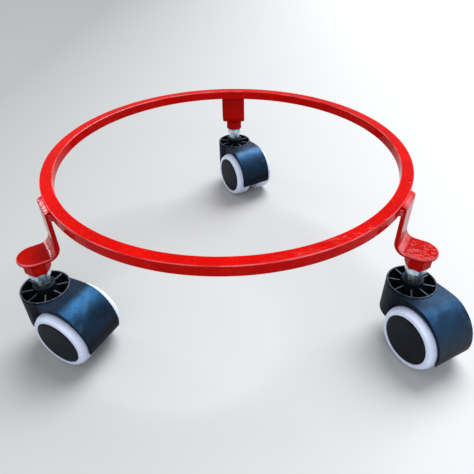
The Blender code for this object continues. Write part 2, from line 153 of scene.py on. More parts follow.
CAMERA_BEFORE = 0.3439
CAMERA_ABOVE = 0.1683             # the ring's top
CAMERA_LENS = 33.89               # mm, on a sensor 36 mm wide
CAMERA_TILT = 37.23               # degrees, downwards
CAMERA_ROLL = -1.10

# ---- mesh tools ----------------------------------------------------------------------------------


def evaluated(source, name):
    """Mesh of an object with its modifiers applied; the object itself is removed."""
    bpy.context.view_layer.update()
    mesh = bpy.data.meshes.new_from_object(source.evaluated_get(bpy.context.evaluated_depsgraph_get()))
    bpy.data.objects.remove(source)
    mesh.name = name
    return mesh


def shaded(work, name, sharp=38.0):
    """A smooth-shaded mesh from a bmesh, with its faces turned outwards."""
    bmesh.ops.recalc_face_normals(work, faces=work.faces)
    mesh = bpy.data.meshes.new(name)
    work.to_mesh(mesh)
    work.free()
    mesh.shade_smooth()
    mesh.set_sharp_from_angle(angle=math.radians(sharp))
    source = bpy.data.objects.new(name, mesh)
    bpy.context.scene.collection.objects.link(source)
    source.modifiers.new("flat_faces_stay_flat", "WEIGHTED_NORMAL").keep_sharp = True
    return evaluated(source, name)


def skin(work, rows, closed=False):
    """Quads between each row of vertices and the next."""
    for one, two in zip(rows, rows[1:]):
        for step in range(len(one) if closed else len(one) - 1):
            after = (step + 1) % len(one)
            work.faces.new([one[step], one[after], two[after], two[step]])


def filleted(points, loop=False, segments=4):
    """Polyline from (x, y, fillet radius) points, each corner turned into an arc."""
    count = len(points)
    line = []
    for index, (x, y, radius) in enumerate(points):
        here = Vector((x, y))
        if radius <= 0.0 or (not loop and index in (0, count - 1)):
            line.append(here)
            continue
        before = (Vector(points[index - 1][:2]) - here)
        after = (Vector(points[(index + 1) % count][:2]) - here)
        half = before.angle(after) / 2.0
        reach = min(radius / math.tan(half), 0.49 * before.length, 0.49 * after.length)
        radius = reach * math.tan(half)
        bisector = (before.normalized() + after.normalized()).normalized()
        middle = here + bisector * (radius / math.sin(half))
        start = here + before.normalized() * reach - middle
        turn = start.angle_signed(here + after.normalized() * reach - middle)
        for step in range(segments + 1):
            line.append(middle + Matrix.Rotation(-turn * step / segments, 2) @ start)
    return [(point.x, point.y) for point in line]


def lathe_mesh(name, rows, steps, loop=False, sharp=38.0):
    """Surface of revolution about Z. A row is (radius, height) or a function of the angle."""
    work = bmesh.new()
    rings = []
    for row in rows:
        if not callable(row) and row[0] <= 0.0:
            rings.append([work.verts.new((0.0, 0.0, row[1]))])
            continue
        ring = []
        for step in range(steps):
            angle = 2.0 * math.pi * step / steps
            radius, height = row(angle) if callable(row) else row
            ring.append(work.verts.new((radius * math.cos(angle), radius * math.sin(angle), height)))
        rings.append(ring)
    pairs = list(zip(rings, rings[1:]))
    if loop:
        pairs.append((rings[-1], rings[0]))
    for upper, lower in pairs:
        for step in range(steps):
            after = (step + 1) % steps
            corners = [upper[step % len(upper)], upper[after % len(upper)],
                       lower[after % len(lower)], lower[step % len(lower)]]
            unique = list(dict.fromkeys(corners))
            if len(unique) > 2:
                work.faces.new(unique)
    return shaded(work, name, sharp)


def turned(name, points, steps):
    """Surface of revolution whose outline has filleted corners."""
    return lathe_mesh(name, filleted(points, segments=5), steps)


def outline_mesh(name, outline, half_thickness, edge=0.0, edge_segments=3):
    """Plate on Z with an outline in XY and edges rounded by edge."""
    curve = bpy.data.curves.new(name, "CURVE")
    curve.dimensions = "2D"
    curve.fill_mode = "BOTH"
    curve.extrude = half_thickness - edge
    curve.bevel_depth = edge
    curve.bevel_resolution = edge_segments
    curve.offset = -edge
    spline = curve.splines.new("POLY")
    spline.points.add(len(outline) - 1)
    for point, (x, y) in zip(spline.points, outline):
        point.co = (x, y, 0.0, 1.0)
    spline.use_cyclic_u = True
    source = bpy.data.objects.new(name, curve)
    bpy.context.scene.collection.objects.link(source)
    mesh = evaluated(source, name)
    work = bmesh.new()
    work.from_mesh(mesh)
    bpy.data.meshes.remove(mesh)
    bmesh.ops.remove_doubles(work, verts=work.verts, dist=0.000004)
    return shaded(work, name)


def arc(centre, radius, start, end, count):
    """Points on an arc between two angles in degrees."""
    angles = [math.radians(start + (end - start) * step / count) for step in range(count + 1)]
    return [(centre[0] + radius * math.cos(a), centre[1] + radius * math.sin(a)) for a in angles]


def combined(name, base, steps, sharp=38.0):
    """The base mesh after (operation, mesh, matrix) Booleans."""
    source = bpy.data.objects.new(name, base)
    bpy.context.scene.collection.objects.link(source)
    tools = []
    for index, (operation, mesh, matrix) in enumerate(steps):
        tool = bpy.data.objects.new(f"{name}_tool_{index}", mesh)
        tool.matrix_world = matrix
        bpy.context.scene.collection.objects.link(tool)
        tools.append(tool)
        boolean = source.modifiers.new("step", "BOOLEAN")
        boolean.operation = operation
        boolean.solver = "EXACT"
        boolean.object = tool
    mesh = evaluated(source, name)
    for tool in tools:
        bpy.data.objects.remove(tool)
    work = bmesh.new()
    work.from_mesh(mesh)
    bpy.data.meshes.remove(mesh)
    bmesh.ops.remove_doubles(work, verts=work.verts, dist=0.000002)
    return shaded(work, name, sharp)


def hex_radius(angle, across_flats, soften=0.985):
    """Distance from the axis to a hexagon's side, its corners slightly rounded."""
    turn = (angle % (math.pi / 3.0)) - math.pi / 6.0
    flat = 0.5 * across_flats / math.cos(turn)
    corner = 0.5 * across_flats / math.cos(math.pi / 6.0) * soften
    return min(flat, corner)


def chamfered_hex(across_flats, rim, height_end, sign, soften=0.985):
    """Row round a hexagon whose corners outside the rim are turned off at 30 degrees."""
    slope = math.tan(math.radians(30.0))

    def at(angle):
        radius = hex_radius(angle, across_flats, soften)
        return radius, height_end - sign * (radius - rim) * slope

    return at


def show(name, mesh, matrix, body, material, slot, *nodes):
    """Places a finished piece, makes it ride, and lets it stand for its CAD nodes."""
    piece = bpy.data.objects.new(name, mesh)
    bpy.context.scene.collection.objects.link(piece)
    if not mesh.materials:
        mesh.materials.append(material)
    piece.matrix_world = matrix
    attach(piece, body)
    if nodes:
        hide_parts(*nodes)
    return piece


# ---- materials -----------------------------------------------------------------------------------


class Shader:
    """A Principled material whose inputs are fed by small procedural networks."""

    def __init__(self, name):
        self.material = bpy.data.materials.new(name)
        self.material.use_nodes = True
        self.tree = self.material.node_tree
        self.surface = self.tree.nodes["Principled BSDF"]
        self.place = self.node("ShaderNodeTexCoord").outputs["Object"]

    def node(self, kind, **values):
        """Adds a node; values named in_X fill its input X and the others set its properties."""
        made = self.tree.nodes.new(kind)
        for key, value in values.items():
            if key.startswith("in_"):
                made.inputs[key[3:].replace("_", " ")].default_value = value
            else:
                setattr(made, key, value)
        return made

    def link(self, output, target):
        self.tree.links.new(output, target)

    def noise(self, scale, detail=4.0, roughness=0.55, stretch=None):
        """Noise over the object's own coordinates, which stretch multiplies."""
        texture = self.node("ShaderNodeTexNoise", in_Scale=scale, in_Detail=detail,
                            in_Roughness=roughness)
        source = self.place
        if stretch:
            mapping = self.node("ShaderNodeMapping", in_Scale=stretch)
            self.link(source, mapping.inputs["Vector"])
            source = mapping.outputs["Vector"]
        self.link(source, texture.inputs["Vector"])
        return texture.outputs["Fac"]

    def ramp(self, factor, low, high, start, end):
        """Values from low to high as the factor goes from start to end."""
        scaled = self.node("ShaderNodeMapRange", clamp=True)
        for key, value in (("From Min", start), ("From Max", end), ("To Min", low), ("To Max", high)):
            scaled.inputs[key].default_value = value
        self.link(factor, scaled.inputs["Value"])
        return scaled.outputs["Result"]

    def mix(self, factor, first, second):
        """Colour that goes from first to second, each a colour or an output."""
        blend = self.node("ShaderNodeMix", data_type="RGBA")
        self.link(factor, blend.inputs["Factor"])
        for socket, value in ((blend.inputs[6], first), (blend.inputs[7], second)):
            if isinstance(value, tuple):
                socket.default_value = (*value, 1.0)
            else:
                self.link(value, socket)
        return blend.outputs[2]

    def slope(self):
        """Upward part of the surface's normal: 1 on level faces and 0 on upright ones."""
        split = self.node("ShaderNodeSeparateXYZ")
        self.link(self.node("ShaderNodeNewGeometry").outputs["Normal"], split.inputs[0])
        return split.outputs["Z"]

    def from_axis(self, split):
        """Distance from the object's own Z, from its separated coordinates."""
        flat = self.node("ShaderNodeCombineXYZ")
        self.link(split.outputs["X"], flat.inputs["X"])
        self.link(split.outputs["Y"], flat.inputs["Y"])
        length = self.node("ShaderNodeVectorMath", operation="LENGTH")
        self.link(flat.outputs["Vector"], length.inputs[0])
        return length.outputs["Value"]

    def times(self, first, second):
        """Product of two outputs."""
        product = self.node("ShaderNodeMath", operation="MULTIPLY")
        self.link(first, product.inputs[0])
        self.link(second, product.inputs[1])
        return product.outputs[0]

    def bump(self, height, distance, strength=1.0, under=None):
        """Normal bent by a height, on top of the bump that is under it."""
        bump = self.node("ShaderNodeBump", in_Strength=strength, in_Distance=distance)
        self.link(height, bump.inputs["Height"])
        if under:
            self.link(under, bump.inputs["Normal"])
        return bump.outputs["Normal"]

    def set(self, **values):
        """Fills the surface's inputs, spaces in their names written as underscores."""
        for key, value in values.items():
            socket = self.surface.inputs[key.replace("_", " ")]
            if hasattr(value, "is_linked"):
                self.link(value, socket)
            elif isinstance(value, tuple) and len(value) == 3:
                socket.default_value = (*value, 1.0)
            else:
                socket.default_value = value


def red_enamel(name, shade_factor):
    """Thick gloss enamel: faint orange peel, mottled, painted pink highlight on sloped and rounded
    edges; a factor below 1 darkens the red into a copy with painted shade.
    """
    paint = Shader(name)
    cloud = paint.noise(38.0, 3.0)
    # The red scales with the second argument; a value below 1 paints shade into the colour.
    tone = paint.mix(paint.ramp(cloud, 0.0, 1.0, 0.35, 0.7), (0.41 * shade_factor, 0.0006, 0.0004),
                     (0.52 * shade_factor, 0.0020, 0.0006))
    specks = paint.ramp(paint.noise(420.0, 3.0), 0.0, 0.5, 0.58, 0.70)
    tone = paint.mix(specks, tone, (0.56 * shade_factor, 0.024, 0.003))
    slope = paint.slope()
    rounded = paint.times(paint.ramp(slope, 0.0, 1.0, 0.25, 0.50),
                          paint.ramp(slope, 1.0, 0.0, 0.86, 0.97))
    # Painted highlight: faces that slope upwards, such as rounded edges, are lightened to pink (0.66,
    # 0.13, 0.15), broken up by noise.
    painted_highlight = paint.times(rounded, paint.ramp(paint.noise(55.0, 3.0), 0.15, 1.0, 0.38, 0.60))
    colour = paint.mix(painted_highlight, tone, (0.66, 0.13, 0.15))
    peel = paint.bump(paint.noise(650.0, 2.0), 0.00002, 0.35)
    runs = paint.bump(paint.noise(110.0, 2.0), 0.00070, 0.50, peel)
    paint.set(Base_Color=colour, Roughness=paint.ramp(paint.noise(140.0), 0.06, 0.12, 0.3, 0.7),
              IOR=1.3, Specular_IOR_Level=paint.ramp(rounded, 0.09, 0.8, 0.0, 1.0), Normal=runs)
    return paint.material


def zinc():
    """Bright zinc plate with a blue tint, clouded and faintly drawn along the stem."""
    metal = Shader("zinc_plate")
    cloud = metal.noise(260.0, 4.0)
    colour = metal.mix(metal.ramp(cloud, 0.0, 1.0, 0.35, 0.65), (0.36, 0.50, 0.60), (0.70, 0.82, 0.90))
    scratches = metal.noise(500.0, 2.0, stretch=(1.0, 1.0, 0.08))
    metal.set(Base_Color=colour, Metallic=1.0,
              Roughness=metal.ramp(scratches, 0.18, 0.42, 0.3, 0.7),
              Normal=metal.bump(scratches, 0.00003, 0.4))
    return metal.material


def dark_steel():
    """Oiled spring steel."""
    metal = Shader("dark_steel")
    cloud = metal.noise(400.0, 3.0)
    metal.set(Base_Color=metal.mix(cloud, (0.10, 0.10, 0.11), (0.22, 0.22, 0.23)), Metallic=1.0,
              Roughness=metal.ramp(cloud, 0.25, 0.5, 0.3, 0.7), Normal=metal.bump(cloud, 0.00002, 0.3))
    return metal.material


def bronze():
    """Sintered bronze, dark with oil and speckled with pores."""
    metal = Shader("sintered_bronze")
    pores = metal.noise(2600.0, 2.0)
    metal.set(Base_Color=metal.mix(metal.ramp(pores, 0.0, 1.0, 0.35, 0.6), (0.03, 0.022, 0.016),
                                   (0.10, 0.068, 0.042)),
              Metallic=1.0, Roughness=0.45, Normal=metal.bump(pores, 0.00004, 0.5))
    return metal.material


def black_nylon():
    """Satin moulded nylon: fine spark texture, blue sheen on the slopes, painted highlight on the rib
    and rim tops.
    """
    nylon = Shader("black_nylon")
    cloud = nylon.noise(55.0, 4.0)
    base = nylon.mix(nylon.ramp(cloud, 0.0, 1.0, 0.35, 0.75), (0.0045, 0.0048, 0.0065),
                     (0.0070, 0.0085, 0.013))
    scratches = nylon.ramp(nylon.noise(160.0, 3.0, stretch=(1.0, 0.12, 0.7)), 0.0, 0.5, 0.63, 0.70)
    base = nylon.mix(scratches, base, (0.030, 0.042, 0.060))
    slope = nylon.slope()
    split = nylon.node("ShaderNodeSeparateXYZ")
    nylon.link(nylon.place, split.inputs[0])
    height = split.outputs["Z"]
    on_turret = nylon.ramp(nylon.from_axis(split), 1.0, 0.0, TURRET_RADIUS, TURRET_RADIUS + 0.1 * MM)
    on_ribs = nylon.times(nylon.ramp(height, 0.0, 1.0, TURRET_TOP - 1.6 * MM, TURRET_TOP - 1.0 * MM),
                          nylon.ramp(height, 1.0, 0.15, TURRET_TOP + 0.3 * MM, TURRET_TOP + 0.6 * MM))
    on_ribs = nylon.times(on_ribs, on_turret)
    # Painted highlight: upward-facing rib and rim tops are lightened to grey (0.115, 0.12, 0.14),
    # broken up by noise.
    painted_highlight = nylon.times(on_ribs, nylon.ramp(slope, 0.0, 1.0, 0.70, 0.95))
    highlight_noise = nylon.ramp(nylon.noise(240.0, 5.0), 0.45, 1.0, 0.40, 0.66)
    colour = nylon.mix(nylon.times(painted_highlight, highlight_noise), base, (0.115, 0.12, 0.14))
    sheen = nylon.times(nylon.ramp(slope, 0.14, 1.5, 0.1, 0.85),
                        nylon.ramp(slope, 1.0, 0.35, 0.95, 0.999))
    on_top = nylon.times(on_turret, nylon.ramp(height, 0.0, 1.0, TURRET_TOP - 2.5 * MM,
                                               TURRET_TOP - 1.8 * MM))
    sheen = nylon.times(sheen, nylon.ramp(on_top, 1.0, 0.2, 0.0, 1.0))
    sheen = nylon.times(sheen, nylon.ramp(nylon.noise(60.0, 6.0, 0.65), 0.55, 1.15, 0.36, 0.64))
    spark = nylon.bump(nylon.noise(2400.0, 2.0), 0.00003, 0.35)
    flow = nylon.bump(nylon.noise(40.0, 3.0), 0.0014, 0.5, spark)
    nylon.set(Base_Color=colour, Roughness=nylon.ramp(cloud, 0.44, 0.60, 0.3, 0.7),
              Specular_IOR_Level=sheen, Specular_Tint=(0.06, 0.42, 1.0), Normal=flow)
    return nylon.material


def cap_nylon():
    """Hub caps: flatter and finer grained than the housing, with short light scratches."""
    nylon = Shader("cap_nylon")
    cloud = nylon.noise(90.0, 4.0)
    colour = nylon.mix(nylon.ramp(cloud, 0.0, 1.0, 0.35, 0.7), (0.0055, 0.0062, 0.011),
                       (0.0095, 0.0105, 0.017))
    scratch = nylon.ramp(nylon.noise(700.0, 3.0, stretch=(1.0, 0.1, 1.0)), 0.0, 1.0, 0.62, 0.70)
    colour = nylon.mix(nylon.ramp(scratch, 0.0, 0.35, 0.0, 1.0), colour, (0.045, 0.048, 0.055))
    grain = nylon.bump(nylon.noise(3000.0, 2.0), 0.00002, 0.4)
    nylon.set(Base_Color=colour, Roughness=nylon.ramp(cloud, 0.42, 0.56, 0.3, 0.7),
              Specular_IOR_Level=0.10, Normal=grain)
    return nylon.material


def tyre_white():
    """Pale polyurethane: milky, a little translucent, grubby where the tread meets the floor."""
    tyre = Shader("tyre_white")
    cloud = tyre.noise(120.0, 4.0)
    clean = tyre.mix(tyre.ramp(cloud, 0.0, 1.0, 0.3, 0.75), (0.64, 0.72, 0.93), (0.72, 0.80, 0.98))
    split = tyre.node("ShaderNodeSeparateXYZ")
    tyre.link(tyre.place, split.inputs[0])
    radius = tyre.from_axis(split)
    tread = tyre.ramp(radius, 0.0, 1.0, WHEEL_RADIUS - 0.6 * MM, WHEEL_RADIUS)
    dirt = tyre.times(tread, tyre.ramp(tyre.noise(420.0, 5.0), 0.0, 0.30, 0.45, 0.68))
    # The band round the tread is painted darker and bluer than the tyre's sides.
    shoulder = tyre.ramp(radius, 0.0, 1.0, WHEEL_RADIUS - 1.6 * MM, WHEEL_RADIUS - 0.4 * MM)
    darker_tread = tyre.mix(shoulder, clean, (0.50, 0.57, 0.76))
    colour = tyre.mix(dirt, darker_tread, (0.32, 0.34, 0.38))
    grain = tyre.bump(tyre.noise(1800.0, 3.0), 0.00003, 0.35)
    tyre.set(Base_Color=colour, Roughness=tyre.ramp(cloud, 0.32, 0.48, 0.3, 0.7),
             Specular_IOR_Level=0.45, Subsurface_Weight=0.15, Subsurface_Scale=0.002, Normal=grain)
    return tyre.material


def core_nylon():
    """Plain dark nylon of the wheel cores."""
    nylon = Shader("core_nylon")
    cloud = nylon.noise(200.0, 4.0)
    nylon.set(Base_Color=nylon.mix(cloud, (0.018, 0.018, 0.02), (0.04, 0.04, 0.045)),
              Roughness=nylon.ramp(cloud, 0.4, 0.6, 0.3, 0.7), Normal=nylon.bump(cloud, 0.00005, 0.3))
    return nylon.material


RED = red_enamel("red_enamel", 1.0)
# Darker copy of the red enamel for the brackets, nuts and their beads: painted shade.
SHADED_RED = red_enamel("red_enamel_painted_shade", 0.78)
ZINC = zinc()
DARK_STEEL = dark_steel()
BRONZE = bronze()
NYLON = black_nylon()
CAP = cap_nylon()
TYRE = tyre_white()
CORE = core_nylon()

# ---- ring, brackets, nuts and welds --------------------------------------------------------------


def ring_mesh():
    """The rolled bar: rounded corners, hand-rolled unevenness and a dressed butt weld."""
    edge = 0.9 * MM
    section = filleted([(RING_INNER, RING_TOP, edge), (RING_RADIUS, RING_TOP, edge),
                        (RING_RADIUS, RING_BOTTOM, edge), (RING_INNER, RING_BOTTOM, edge)],
                       loop=True, segments=4)
    middle = Vector(((RING_INNER + RING_RADIUS) / 2.0, (RING_TOP + RING_BOTTOM) / 2.0))
    sink = 0.05 * MM

    def row(point):
        offset = Vector(point) - middle

        def at(angle):
            away = (math.degrees(angle) - SEAM_AZIMUTH + 180.0) % 360.0 - 180.0
            arc_length = math.radians(away) * RING_RADIUS
            lump = noise.noise(Vector((arc_length / (1.1 * MM), point[0] * 900.0, point[1] * 900.0)))
            weld = math.exp(-(arc_length / (1.5 * MM)) ** 2) * (0.10 + 0.22 * abs(lump)) * MM
            wave = sink * noise.noise(Vector((math.cos(angle) * 9.0, math.sin(angle) * 9.0,
                                              offset.angle_signed(Vector((1.0, 0.0))))))
            moved = middle + offset.normalized() * (offset.length + weld - sink + wave)
            return moved.x, moved.y

        return at

    return lathe_mesh("carrier_ring", [row(point) for point in section], 480, loop=True, sharp=60.0)


def spaced(start, end, count):
    """Distances in equal steps from start, which is left out, to end."""
    return [start + (end - start) * step / count for step in range(1, count + 1)]


def strap_mesh():
    """Bracket bar bent round its former, its tab's end rounded over the stem."""
    half = bracket_high.y
    top = bracket_high.z
    leg_middle = bracket_low.x + STRAP_THICKNESS / 2.0
    tab_middle = nut_high.z + 0.3 * MM + STRAP_THICKNESS / 2.0
    bend = BEND_INNER + STRAP_THICKNESS / 2.0
    bend_start = top - (tab_middle + bend)
    tab_start = bend_start + bend * math.pi / 2.0
    cap_start = tab_start + STEM_CIRCLE - (leg_middle + bend)
    work = bmesh.new()

    def vertex(along, across, height):
        """Vertex at a distance along the bar's middle line, across it and above its middle."""
        angle = min(max(0.0, along - bend_start) / bend, math.pi / 2.0)
        normal = Vector((math.cos(angle), math.sin(angle)))
        middle = Vector((leg_middle + bend, tab_middle + bend)) - normal * bend
        middle += Vector((max(0.0, along - tab_start), max(0.0, bend_start - along)))
        point = middle + normal * height
        return work.verts.new((point.x, across, point.y))

    stations = [0.0] + spaced(0.0, bend_start, 10) + spaced(bend_start, tab_start, 14)
    stations += spaced(tab_start, cap_start, 4)
    stations += [cap_start + half * math.sin(math.radians(turn)) for turn in spaced(0.0, 90.0, 16)]
    edge = 1.5 * MM
    rim = [(edge * (1.0 - math.sin(math.radians(a))),
            STRAP_THICKNESS / 2.0 - edge * (1.0 - math.cos(math.radians(a)))) for a in range(0, 91, 18)]
    rim += [(inset, -height) for inset, height in reversed(rim)]

    def rounded_edge(side):
        """Columns of vertices down one edge; the insets follow the round end's normal."""
        columns = []
        for s in stations:
            turn = max(0.0, s - cap_start) / half
            square = math.sqrt(max(1.0 - turn ** 2, 0.0))
            along = 1.0 if s == 0.0 else -turn
            columns.append([vertex(s + inset * along, side * (half - inset) * square, height)
                            for inset, height in rim])
        skin(work, columns)
        return columns

    def bridge(first, last):
        """Row of vertices from one vertex to another."""
        between = [work.verts.new(first.co.lerp(last.co, step / 8.0)) for step in range(1, 8)]
        return [first, *between, last]

    left, right = rounded_edge(1.0), rounded_edge(-1.0)
    upper = [bridge(one[0], two[0]) for one, two in zip(left, right)]
    lower = [bridge(one[-1], two[-1]) for one, two in zip(left, right)]
    end = [bridge(left[0][index], right[0][index]) for index in range(1, len(rim) - 1)]
    skin(work, upper)
    skin(work, lower)
    skin(work, [upper[0], *end, lower[0]])
    bmesh.ops.remove_doubles(work, verts=work.verts, dist=0.00001)
    return shaded(work, "bracket", 50.0)


def nut_mesh():
    """Hex nut with turned chamfers at both ends, its corners softened by paint."""
    rim = 0.5 * NUT_FLATS * 0.97
    hole = 5.25 * MM
    low, high = nut_low.z, nut_high.z
    rows = [(hole, low + 0.6 * MM), (hole + 0.6 * MM, low), (rim - 0.2 * MM, low),
            chamfered_hex(NUT_FLATS, rim, low, -1.0), chamfered_hex(NUT_FLATS, rim, high, 1.0),
            (rim - 0.2 * MM, high), (hole + 0.6 * MM, high), (hole, high - 0.6 * MM)]
    return lathe_mesh("nut", rows, 96, loop=True, sharp=28.0)


def nut_weld_mesh(seed):
    """Lumpy fillet bead round the nut, under the tab."""
    high = nut_high.z + 0.25 * MM
    corner = 0.5 * NUT_FLATS / math.cos(math.pi / 6.0)

    def wobble(angle):
        ripple = 0.5 + 0.5 * math.sin(angle * 26.0 + seed)
        drift = noise.noise(Vector((math.cos(angle) * 2.0, math.sin(angle) * 2.0, seed)))
        return 1.0 + 0.10 * ripple + 0.18 * drift

    def row(out, down):
        def at(angle):
            base = 0.5 * (hex_radius(angle, NUT_FLATS) + corner) - 0.55 * MM
            return base + out * wobble(angle) * MM, high - down * wobble(angle) * MM

        return at

    rows = [row(-0.6, 0.0), row(2.0, 0.0), row(1.9, 0.4), row(1.45, 0.9), row(0.9, 1.5), row(0.3, 2.1),
            row(-0.2, 2.3), row(-0.6, 2.2)]
    return lathe_mesh("nut_weld", rows, 144, loop=True, sharp=60.0)


def side_weld_mesh(side, seed):
    """Vertical fillet bead in the corner between the ring's face and the bracket's edge."""
    work = bmesh.new()
    edge_y = bracket_high.y
    face = math.sqrt(RING_RADIUS ** 2 - edge_y ** 2)
    corner = Vector((face + 0.3 * MM, edge_y - 0.4 * MM))
    rows = 26
    around = 14
    low, high = RING_BOTTOM + 0.3 * MM, bracket_high.z - 0.2 * MM
    rings = []
    for step in range(rows + 1):
        share = step / rows
        height = low + (high - low) * share
        swell = math.sqrt(max(0.0, 1.0 - (2.0 * share - 1.0) ** 6))
        ripple = 1.0 + 0.09 * math.sin(share * 34.0 + seed)
        ripple += 0.16 * noise.noise(Vector((share * 4.0, seed, 0.0)))
        radius = 2.1 * MM * swell * ripple + 0.02 * MM
        ring = []
        for turn in range(around):
            angle = 2.0 * math.pi * turn / around
            x = corner.x + radius * math.cos(angle)
            y = corner.y + radius * 1.15 * math.sin(angle)
            ring.append(work.verts.new((x, side * y, height)))
        rings.append(ring)
    skin(work, rings, closed=True)
    work.faces.new(rings[0])
    work.faces.new(rings[-1])
    return shaded(work, "bracket_weld", 60.0)


def top_weld_mesh(seed):
    """Fillet bead that runs from the ring's shoulder down to the bracket's outer edge."""
    half = bracket_high.y - 0.5 * MM
    outer = bracket_low.x + STRAP_THICKNESS - 0.7 * MM
    work = bmesh.new()
    across = 40
    rows = []
    section = ((0.0, -3.6), (0.0, -0.45), (0.18, -0.5), (0.4, -0.85), (0.7, -1.4), (1.0, -2.0),
               (1.0, -3.6))
    for share, lift in section:
        row = []
        for step in range(across + 1):
            y = half * (2.0 * step / across - 1.0)
            ring_face = math.sqrt(RING_RADIUS ** 2 - y ** 2) - 0.5 * MM
            lump = noise.noise(Vector((y * 330.0, seed, share * 2.0))) * 0.30 * MM
            bead = lump if 0.0 < share < 1.0 else 0.0
            x = ring_face + share * (outer - ring_face)
            row.append(work.verts.new((x, y, RING_TOP + lift * MM + bead)))
        rows.append(row)
    skin(work, rows + rows[:1])
    for step in (0, across):
        work.faces.new([row[step] for row in rows])
    return shaded(work, "bracket_top_weld", 50.0)


def stem_mesh():
    """M10 thread, hex collar between two turned shoulders, plain pin and clip groove."""
    pitch = 1.5 * MM
    major = 4.9 * MM
    minor = major - 0.85 * MM
    collar_low, collar_high = 66.8 * MM, nut_low.z - 0.3 * MM
    round_part, round_low = 6.0 * MM, 60.0 * MM
    pin = 4.0 * MM
    rows = [(0.0, stem_high.z), (minor - 0.4 * MM, stem_high.z)]
    thread_length = stem_high.z - 0.6 * MM - collar_high
    count = int(thread_length / pitch * 8)
    for step in range(count + 1):
        height = stem_high.z - 0.6 * MM - thread_length * step / count

        def thread(angle, height=height):
            phase = (height / pitch + angle / (2.0 * math.pi)) % 1.0
            return minor + (major - minor) * abs(2.0 * phase - 1.0), height

        rows.append(thread)
    rim = 0.5 * COLLAR_FLATS * 0.96
    hex_high, hex_low = collar_high - 0.6 * MM, collar_low + 0.2 * MM
    upper_flats = chamfered_hex(COLLAR_FLATS, rim, hex_high, 1.0, 0.97)
    lower_flats = chamfered_hex(COLLAR_FLATS, rim, hex_low, -1.0, 0.97)
    shoulder = 0.5 * COLLAR_FLATS - 0.7 * MM
    rows += [(shoulder - 0.3 * MM, collar_high), (shoulder, collar_high - 0.3 * MM),
             (shoulder, hex_high), (rim, hex_high), upper_flats, lower_flats,
             (rim, hex_low), (shoulder, collar_low), (round_part + 0.5 * MM, collar_low),
             (round_part, collar_low - 0.5 * MM), (round_part, round_low + 0.5 * MM),
             (round_part - 0.5 * MM, round_low), (pin, round_low)]
    groove = 3.2 * MM
    rows += [(pin, clip_high.z + 0.3 * MM), (groove, clip_high.z + 0.3 * MM),
             (groove, clip_low.z - 0.3 * MM), (pin, clip_low.z - 0.3 * MM),
             (pin, stem_low.z + 0.5 * MM), (pin - 0.5 * MM, stem_low.z), (0.0, stem_low.z)]
    return lathe_mesh("stem", rows, 96, sharp=28.0)


def clip_mesh():
    """Flat open ring in the stem's groove."""
    inner, outer = 3.5 * MM, clip_high.y
    outline = arc((0.0, 0.0), outer, 20.0, 340.0, 64) + arc((0.0, 0.0), inner, 340.0, 20.0, 64)
    half = (clip_high.z - clip_low.z) / 2.0
    mesh = outline_mesh("stem_clip", outline, half, edge=0.15 * MM, edge_segments=1)
    mesh.transform(Matrix.Translation((0.0, 0.0, clip_low.z + half)))
    return mesh


def bush_mesh():
    """Plain bush with its four edges chamfered."""
    outer, inner, cut = bush_high.x, RUNNING_BORE, 0.3 * MM
    low, high = bush_low.z, bush_high.z
    rows = [(inner + cut, high), (outer - cut, high), (outer, high - cut), (outer, low + cut),
            (outer - cut, low), (inner + cut, low), (inner, low + cut), (inner, high - cut)]
    return lathe_mesh("stem_bush", rows, 72, loop=True, sharp=28.0)


# ---- castor housing ------------------------------------------------------------------------------


def mudguard_outline():
    """Side of the mudguard and the middle web, from the tail over the crest to the turret."""
    axle = (TRAIL, AXLE_HEIGHT)
    side = arc(axle, HOOD_RADIUS, -13.0, 15.0, 14)
    for step in range(1, 41):
        share = step / 40.0
        radius = HOOD_RADIUS + HOOD_RISE * share ** 2 * (3.0 - 2.0 * share)
        angle = math.radians(15.0 + 77.0 * share)
        side.append((axle[0] + radius * math.cos(angle), axle[1] + radius * math.sin(angle)))
    crest = Vector(side[-1])
    for step in range(1, 17):
        share = step / 16.0
        side.append((crest.x * (1.0 - share), crest.y - 2.0 * MM * share ** 2))
    side.append((0.0, TURRET_BOTTOM + 1.0 * MM))
    return side + arc(axle, 16.5 * MM, 190.0, 340.0, 30)


def turret_steps():
    """The ribbed cup round the stem and the boss in its middle."""
    here = Matrix.Identity(4)
    inside = TURRET_RADIUS - 1.6 * MM
    turret = turned("turret", [
        (0.0, TURRET_TOP, 0.0), (TURRET_RADIUS, TURRET_TOP, 0.7 * MM),
        (TURRET_RADIUS, TURRET_BOTTOM, 1.2 * MM), (0.0, TURRET_BOTTOM, 0.0)], 96)
    cup = turned("cup", [
        (0.0, TURRET_TOP + 2.0 * MM, 0.0), (inside + 0.5 * MM, TURRET_TOP + 2.0 * MM, 0.0),
        (inside + 0.45 * MM, TURRET_TOP, 0.0), (inside, TURRET_TOP - 0.6 * MM, 0.3 * MM),
        (inside - 0.2 * MM, HOOD_FLOOR, 1.2 * MM), (0.0, HOOD_FLOOR, 0.0)], 96)
    root = HOOD_FLOOR - 1.0 * MM
    boss = turned("boss", [
        (0.0, BOSS_TOP, 0.0), (BOSS_RADIUS, BOSS_TOP, 0.8 * MM),
        (BOSS_RADIUS + 0.2 * MM, TURRET_TOP, 0.0), (BOSS_RADIUS + 0.4 * MM, root, 0.0),
        (0.0, root, 0.0)], 96)
    rib_top = TURRET_TOP - 0.9 * MM
    reach = inside + 0.3 * MM
    rib_outline = filleted([(-reach, rib_top, 0.0), (reach, rib_top, 0.0), (reach, root, 0.0),
                            (-reach, root, 0.0)], loop=True)
    rib = outline_mesh("rib", rib_outline, 0.7 * MM, edge=0.4 * MM, edge_segments=2)
    rib.transform(UPRIGHT)
    steps = [("UNION", turret, here), ("DIFFERENCE", cup, here)]
    for index in range(RIB_COUNT // 2):
        steps.append(("UNION", rib, Matrix.Rotation(2.0 * math.pi * index / RIB_COUNT, 4, "Z")))
    return steps + [("UNION", boss, here)]


